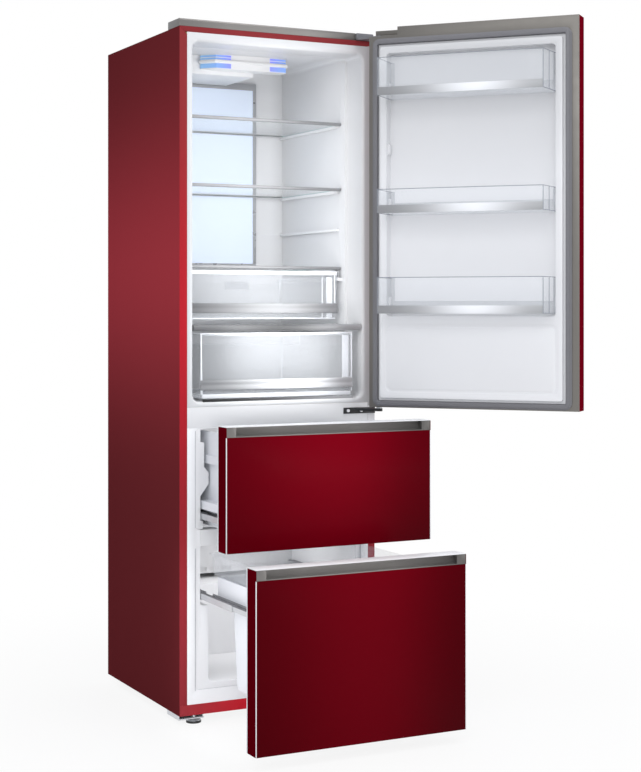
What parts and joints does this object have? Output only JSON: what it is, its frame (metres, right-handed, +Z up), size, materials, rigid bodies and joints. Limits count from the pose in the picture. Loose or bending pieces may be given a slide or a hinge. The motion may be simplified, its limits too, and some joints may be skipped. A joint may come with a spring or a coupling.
{
  "type": "fridge freezer",
  "caption": "Tall fridge freezer: a hinged fridge door with bins over pull-out freezer drawers on telescopic slides, glass shelves, crisper, cooling parts and levelling feet.",
  "frame": {"origin": "on the floor, midway between the two front levelling feet", "axes": "+Z up, +Y from the front to the back of the cabinet, +X to the right seen from the front"},
  "size_m": [0.9731, 1.0999, 1.9],
  "materials": {
    "red_paint": "gloss",
    "side_paint": "satin",
    "galvanised": "satin",
    "grey_plastic": "satin",
    "hinge_grey": "satin",
    "black_paint": "satin",
    "zinc": "satin",
    "white_liner": "satin",
    "white_plastic": "satin",
    "foam": "matte",
    "silver_plastic": "gloss",
    "lamp_cover": "satin",
    "shelf_glass": "gloss",
    "rail_steel": "satin",
    "coil_aluminium": "satin",
    "black_plastic": "matte",
    "black_rubber": "matte",
    "gasket_grey": "matte",
    "gasket_light": "matte",
    "clear_plastic": "gloss",
    "frosted_plastic": "satin",
    "foot_chrome": "polished",
    "roller_plastic": "matte",
    "fan_plastic": "satin"
  },
  "bodies": {
    "cabinet": {"side_panel_left": "side_paint", "side_panel_right": "side_paint", "top_panel": "side_paint", "back_panel": "galvanised", "base_plate": "red_paint", "top_cap": "grey_plastic", "top_hinge": "hinge_grey", "centre_hinge": "black_paint", "hinge_pins": "zinc", "fridge_liner": "white_liner", "freezer_liner": "white_liner", "beam_covers": "white_plastic", "freezer_side_trims": "white_plastic", "insulation_foam": "foam", "light_panel_frame": "silver_plastic", "light_diffuser": "lamp_cover", "ceiling_duct": "white_plastic", "duct_lamps": "lamp_cover", "glass_shelves": "shelf_glass", "shelf_trims": "silver_plastic", "outer_rails": "rail_steel", "evaporator": "coil_aluminium", "evaporator_cover": "white_plastic", "fan_motor": "black_plastic", "compressor": "black_paint", "condenser": "black_paint", "drip_tray": "black_plastic", "cord_gland": "black_rubber", "foot_brackets": "zinc"},
    "door": {"door_panel": "red_paint", "door_frame": "grey_plastic", "door_liner": "white_plastic", "door_gasket": "gasket_grey", "door_foam": "foam", "door_bins": "clear_plastic", "door_bin_bands": "silver_plastic"},
    "upper_drawer": {"upper_front": "red_paint", "upper_grip": "grey_plastic", "upper_inner_panel": "white_plastic", "upper_gasket": "gasket_light", "upper_basket": "frosted_plastic", "upper_inner_rails": "rail_steel"},
    "lower_drawer": {"lower_front": "red_paint", "lower_grip": "grey_plastic", "lower_inner_panel": "white_plastic", "lower_gasket": "gasket_light", "lower_bin": "frosted_plastic", "lower_inner_rails": "rail_steel"},
    "upper_slides": {"upper_middle_rails": "rail_steel"},
    "lower_slides": {"lower_middle_rails": "rail_steel"},
    "tray": {"freezer_tray": "clear_plastic"},
    "crisper": {"crisper_box": "clear_plastic", "crisper_band": "silver_plastic"},
    "fresh_drawer": {"fresh_box": "clear_plastic", "fresh_band": "silver_plastic"},
    "foot_left": {"foot_left": "foot_chrome"},
    "foot_right": {"foot_right": "foot_chrome"},
    "roller_left": {"roller_left": "roller_plastic"},
    "roller_right": {"roller_right": "roller_plastic"},
    "fan": {"evaporator_fan": "fan_plastic"}
  },
  "joints": [
    {"name": "door_hinge", "type": "hinge", "parent": "cabinet", "child": "door", "pos_m": [0.2831, -0.0751, 1.37], "axis": [0, 0, 1], "range_deg": [-131.15, 3.85]},
    {"name": "upper_drawer_slide", "type": "slide", "parent": "cabinet", "child": "upper_drawer", "axis": [0, -1, 0], "range_m": [-0.246, 0.154]},
    {"name": "upper_middle_rail_slide", "type": "slide", "parent": "cabinet", "child": "upper_slides", "axis": [0, -1, 0], "range_m": [-0.123, 0.077]},
    {"name": "lower_drawer_slide", "type": "slide", "parent": "cabinet", "child": "lower_drawer", "axis": [0, -1, 0], "range_m": [-0.4256, 0.0144]},
    {"name": "lower_middle_rail_slide", "type": "slide", "parent": "cabinet", "child": "lower_slides", "axis": [0, -1, 0], "range_m": [-0.2128, 0.0072]},
    {"name": "tray_slide", "type": "slide", "parent": "lower_drawer", "child": "tray", "axis": [0, 1, 0], "range_m": [0, 0.35]},
    {"name": "crisper_slide", "type": "slide", "parent": "cabinet", "child": "crisper", "axis": [0, -1, 0], "range_m": [0, 0.25]},
    {"name": "fresh_drawer_slide", "type": "slide", "parent": "cabinet", "child": "fresh_drawer", "axis": [0, -1, 0], "range_m": [0, 0.17]},
    {"name": "left_foot_turn", "type": "hinge", "parent": "cabinet", "child": "foot_left", "pos_m": [-0.248, 0, 0.02], "axis": [0, 0, 1], "continuous": true},
    {"name": "right_foot_turn", "type": "hinge", "parent": "cabinet", "child": "foot_right", "pos_m": [0.248, 0, 0.02], "axis": [0, 0, 1], "continuous": true},
    {"name": "left_roller_turn", "type": "hinge", "parent": "cabinet", "child": "roller_left", "pos_m": [-0.248, 0.468, 0.025], "axis": [1, 0, 0], "continuous": true},
    {"name": "right_roller_turn", "type": "hinge", "parent": "cabinet", "child": "roller_right", "pos_m": [0.248, 0.468, 0.025], "axis": [1, 0, 0], "continuous": true},
    {"name": "fan_spin", "type": "hinge", "parent": "cabinet", "child": "fan", "pos_m": [0, 0.42, 0.7], "axis": [0, 1, 0], "continuous": true}
  ],
  "couplings": [
    {"joint": "upper_middle_rail_slide", "follows": "upper_drawer_slide", "ratio": 0.5},
    {"joint": "lower_middle_rail_slide", "follows": "lower_drawer_slide", "ratio": 0.5}
  ]
}
